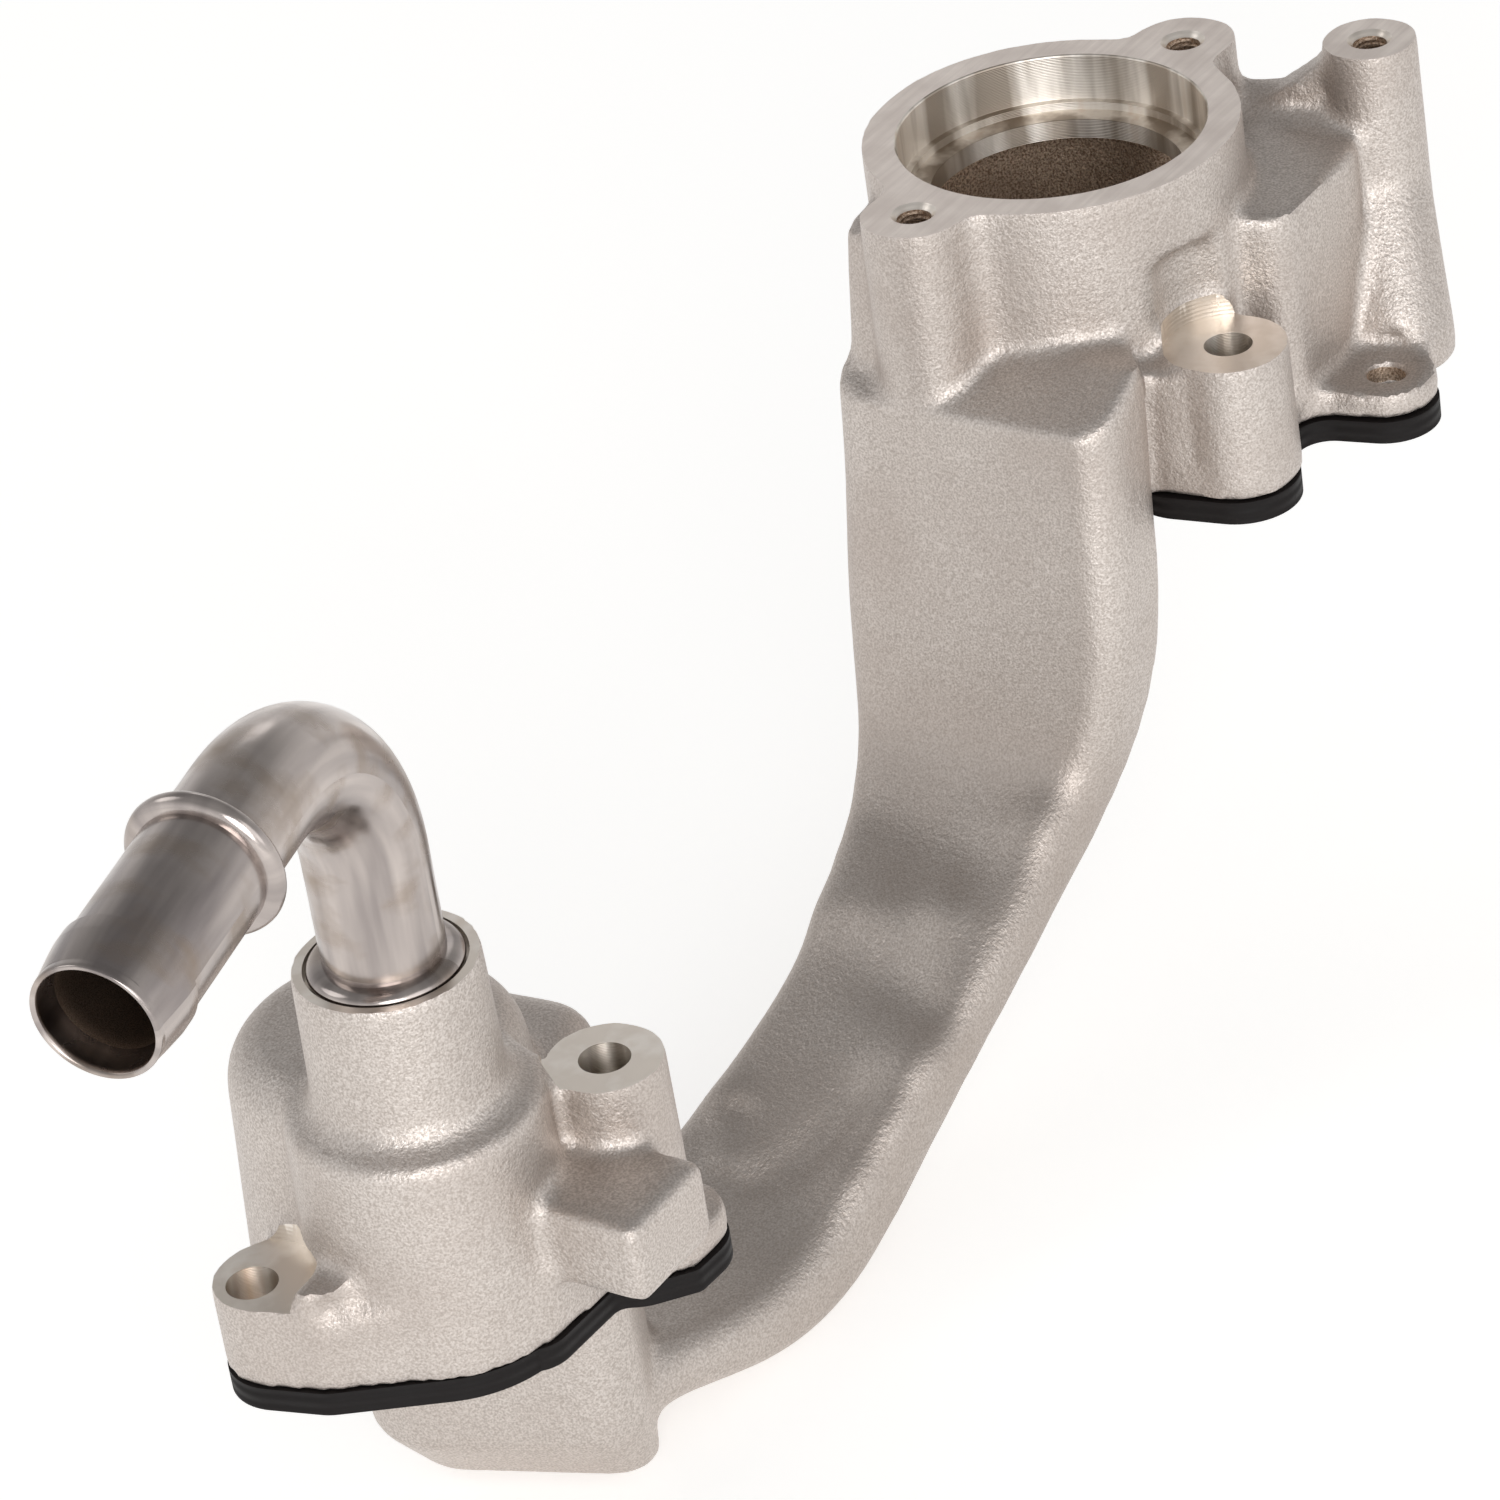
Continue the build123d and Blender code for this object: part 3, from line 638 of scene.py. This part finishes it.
# %% Heater tube: mesh
STEPS = 96
turns = [2 * pi * i / STEPS for i in range(STEPS)]
bm = bmesh.new()
uv = bm.loops.layers.uv.new("along")
side = np.array([-sin(HEAD), cos(HEAD), 0.0])
rings = []
for s, r in rows:
    point, way = centre_line(s)
    across = np.cross(side, way)
    spokes = [cos(a) * side + sin(a) * across for a in turns]
    rings.append([bm.verts.new(Vector((point + r * spoke) * MM)) for spoke in spokes])
for k in range(len(rows)):
    n = (k + 1) % len(rows)
    for i in range(STEPS):
        j = (i + 1) % STEPS
        face = bm.faces.new((rings[k][i], rings[k][j], rings[n][j], rings[n][i]))
        face.smooth = True
        face.material_index = int(k >= mouth + MOUTH_ROWS)
        for loop, (u, v) in zip(face.loops, ((i, k), (i + 1, k), (i + 1, n), (i, n))):
            loop[uv].uv = (u / STEPS, rows[v][0] / full)
bmesh.ops.recalc_face_normals(bm, faces=bm.faces)
tube_mesh = bpy.data.meshes.new("heater_tube_drawn")
bm.to_mesh(tube_mesh)
bm.free()
tube = new_object("heater_tube_drawn", tube_mesh)
TUBE_EDGE = radians(50)
tube_mesh.set_sharp_from_angle(angle=TUBE_EDGE)
tube_mesh.materials.append(bright)
tube_mesh.materials.append(stained)
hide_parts("heater_tube")
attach(tube, "root")
print("tube:", len(tube_mesh.polygons), "faces")

# %% [markdown]
# The gaskets are flat rings with the faces' own outlines. The solids already have that shape, so
# they stay and only get the rubber.

# %% Gaskets
for name in ("upper_gasket", "lower_gasket"):
    nodes[name].data.materials.clear()
    nodes[name].data.materials.append(rubber)
print("gaskets dressed")

# %% [markdown]
# The floor lies just under the lowest point. It is a pale matt board, and to the camera, and to
# what shines, it glows a little on top, so that it reads as white and still takes the shadow.

# %% Floor
def seen_rays(owner):
    """1 for camera, glossy and transmission rays, else 0."""
    path = add(owner, "ShaderNodeLightPath")
    sharp = calculated(owner, "MAXIMUM", path.outputs["Is Glossy Ray"], path.outputs["Is Transmission Ray"])
    return calculated(owner, "MAXIMUM", path.outputs["Is Camera Ray"], sharp)


WHITE = (1, 1, 1, 1)
FLOOR_GLOW, FLOOR_GAP, FLOOR_REACH = 0.45, 0.0005, 6
paper = new_material("studio_floor")
matt = add(paper, "ShaderNodeBsdfDiffuse", Color=linear("#f2f1ef")).outputs[0]
glow = add(paper, "ShaderNodeEmission", Color=WHITE, Strength=FLOOR_GLOW).outputs[0]
lit = add(paper, "ShaderNodeAddShader", i0=matt, i1=glow).outputs[0]
finish_material(paper, add(paper, "ShaderNodeMixShader", i0=seen_rays(paper), i1=matt, i2=lit))
floor_z = solid_box[0][2] - FLOOR_GAP
corners = [(x * FLOOR_REACH, y * FLOOR_REACH, floor_z) for x, y in ((-1, -1), (1, -1), (1, 1), (-1, 1))]
floor_mesh = bpy.data.meshes.new("floor")
floor_mesh.from_pydata(corners, [], [(0, 1, 2, 3)])
floor_mesh.materials.append(paper)
floor = new_object("floor", floor_mesh)
print("floor at", round(floor_z / MM, 1), "mm")

# %% [markdown]
# In the photograph the walls that face the camera are the palest and the level tops are darker.
# On metal that means a bright low surround and a dimmer ceiling, so the room is white up to just
# above the horizon, darkens over it, and is a little darker on the far side. Two wide soft lamps
# stand low in front, one stands at the rear left, and a small weak one behind puts a sheen on the
# level machined faces.

# %% Room and lamps
def lamp(name, place, target, size, power):
    """A round soft lamp of this width in metres and this power in watts, turned to the target."""
    data = bpy.data.lights.new(name, "AREA")
    data.shape = "DISK"
    data.size = size
    data.energy = power
    obj = new_object(name, data)
    obj.location = place
    obj.rotation_euler = (Vector(target) - Vector(place)).to_track_quat("-Z", "Y").to_euler()


middle = (-0.1, 0.0, -0.06)  # about the object's middle
lamp("key", (-1.3, -0.9, 0.5), middle, 0.9, 8.5)
lamp("front", (-0.5, -1.5, 0.7), middle, 1.1, 2.8)
lamp("rear", (-0.8, 1.2, 1.1), middle, 0.9, 2)
lamp("back", (1.1, 0.83, 0.85), middle, 0.5, 0.4)

room = bpy.data.worlds.new("studio")
bpy.context.scene.world = room
room.use_nodes = True
room.node_tree.nodes.clear()
TO_CAMERA = (-0.8, -0.6, 0.0)
FILLING = 0.5  # what the room gives to matt surfaces
way = add(room, "ShaderNodeTexCoord").outputs["Generated"]
height = add(room, "ShaderNodeSeparateXYZ", Vector=way).outputs["Z"]
nearness = add(room, "ShaderNodeVectorMath", {"operation": "DOT_PRODUCT"}, i0=way, i1=TO_CAMERA)
ceiling = spread(room, height, 0.15, 0.7, 1.0, 0.4)
far_side = spread(room, nearness.outputs["Value"], -0.6, 0.4, 0.72, 1.0)
strength = calculated(room, "MULTIPLY", ceiling, far_side)
backdrop = add(room, "ShaderNodeBackground", Color=WHITE, Strength=strength)
filling = add(room, "ShaderNodeBackground", Color=WHITE, Strength=FILLING)
choice = add(room, "ShaderNodeMixShader", i0=seen_rays(room), i1=filling.outputs[0],
             i2=backdrop.outputs[0])
add(room, "ShaderNodeOutputWorld", Surface=choice.outputs[0])

# %% [markdown]
# The camera stands where the photographer stood. The bore's circle gives that: its ellipse in the
# photograph says how far the camera looks down and how far away it is, and the machined edges give
# its heading and its small roll.

# %% Camera
FOCUS_PX, IMAGE_PX = 6200.0, 1500
DOWN, ROLL, HEADING = radians(31.7), radians(-8.95), radians(53.0)
BORE_PX, BORE_AT = 156.4, (1050.7, 125.0)  # the bore's half width and middle in the photograph
ahead = Vector((sin(HEADING), cos(HEADING), 0))
level = Vector((cos(HEADING), -sin(HEADING), 0))
look = ahead * cos(DOWN) - Vector(UP) * sin(DOWN)
sink = -ahead * sin(DOWN) - Vector(UP) * cos(DOWN)
right = level * cos(ROLL) - sink * sin(ROLL)
below = level * sin(ROLL) + sink * cos(ROLL)
BORE_R = 27.0
distance = FOCUS_PX * BORE_R * MM / BORE_PX
shift = [(p - IMAGE_PX / 2) / FOCUS_PX for p in BORE_AT]
eye = -(right * shift[0] + below * shift[1] + look) * distance
camera_data = bpy.data.cameras.new("camera")
SENSOR = 36.0
camera_data.sensor_width = SENSOR
camera_data.lens = SENSOR * FOCUS_PX / IMAGE_PX
camera = new_object("camera", camera_data)
camera.matrix_world = Matrix.Translation(eye) @ Matrix((right, -below, -look)).transposed().to_4x4()
bpy.context.scene.camera = camera
bpy.context.scene.view_settings.view_transform = "Standard"
print("camera at", [round(v, 4) for v in eye])
